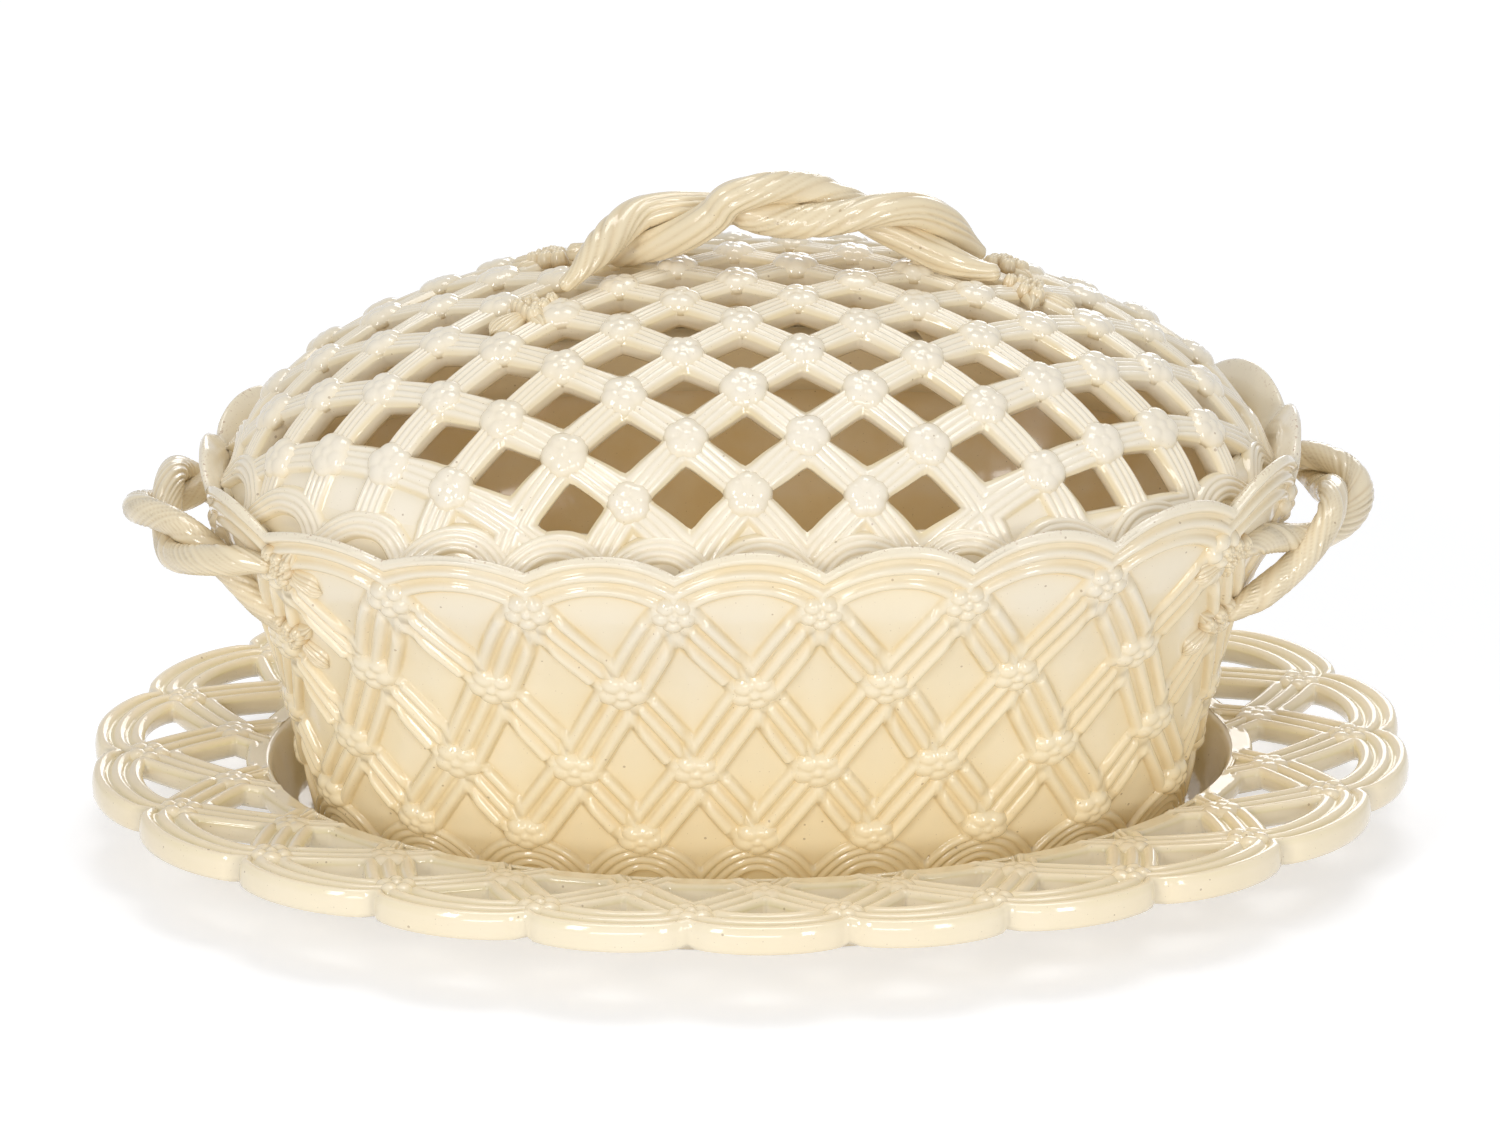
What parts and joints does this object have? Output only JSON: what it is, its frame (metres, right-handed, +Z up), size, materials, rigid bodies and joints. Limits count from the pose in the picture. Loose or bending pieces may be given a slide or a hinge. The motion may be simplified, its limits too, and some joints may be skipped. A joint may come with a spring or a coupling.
{
  "type": "covered basket on a stand",
  "caption": "Oval cream-glazed earthenware fruit basket with rope handles, a pierced domed cover and a pierced scalloped stand",
  "frame": {"origin": "middle of the stand's underside, on the surface it stands on", "axes": "+X along the length towards the right-hand rope handle, +Y towards the back, +Z up"},
  "size_m": [0.2876, 0.2042, 0.1523],
  "materials": {
    "stand": "glossy cream lead glaze, a little green where it pools",
    "basket": "glossy cream lead glaze, warmer towards the foot",
    "cover": "glossy pale cream lead glaze",
    "rope": "glossy cream glaze, brownish in the grooves",
    "sprig": "glossy cream glaze, brownish in the grooves"
  },
  "bodies": {
    "stand": {"stand_dish": "stand"},
    "basket": {"basket_body": "basket", "left_handle_strand_a": "rope", "left_handle_strand_b": "rope", "right_handle_strand_a": "rope", "right_handle_strand_b": "rope", "left_sprig_front_upper": "sprig", "left_sprig_front_lower": "sprig", "left_sprig_back_upper": "sprig", "left_sprig_back_lower": "sprig", "right_sprig_front_upper": "sprig", "right_sprig_front_lower": "sprig", "right_sprig_back_upper": "sprig", "right_sprig_back_lower": "sprig"},
    "cover": {"cover_dome": "cover", "cover_handle_strand_a": "rope", "cover_handle_strand_b": "rope", "cover_sprig_left_front": "sprig", "cover_sprig_left_back": "sprig", "cover_sprig_right_front": "sprig", "cover_sprig_right_back": "sprig"}
  },
  "joints": [
    {"name": "basket_lift", "type": "slide", "parent": "stand", "child": "basket", "axis": [0, 0, 1], "range_m": [0, 0.06]},
    {"name": "cover_lift", "type": "slide", "parent": "basket", "child": "cover", "axis": [0, 0, 1], "range_m": [0, 0.06]}
  ]
}
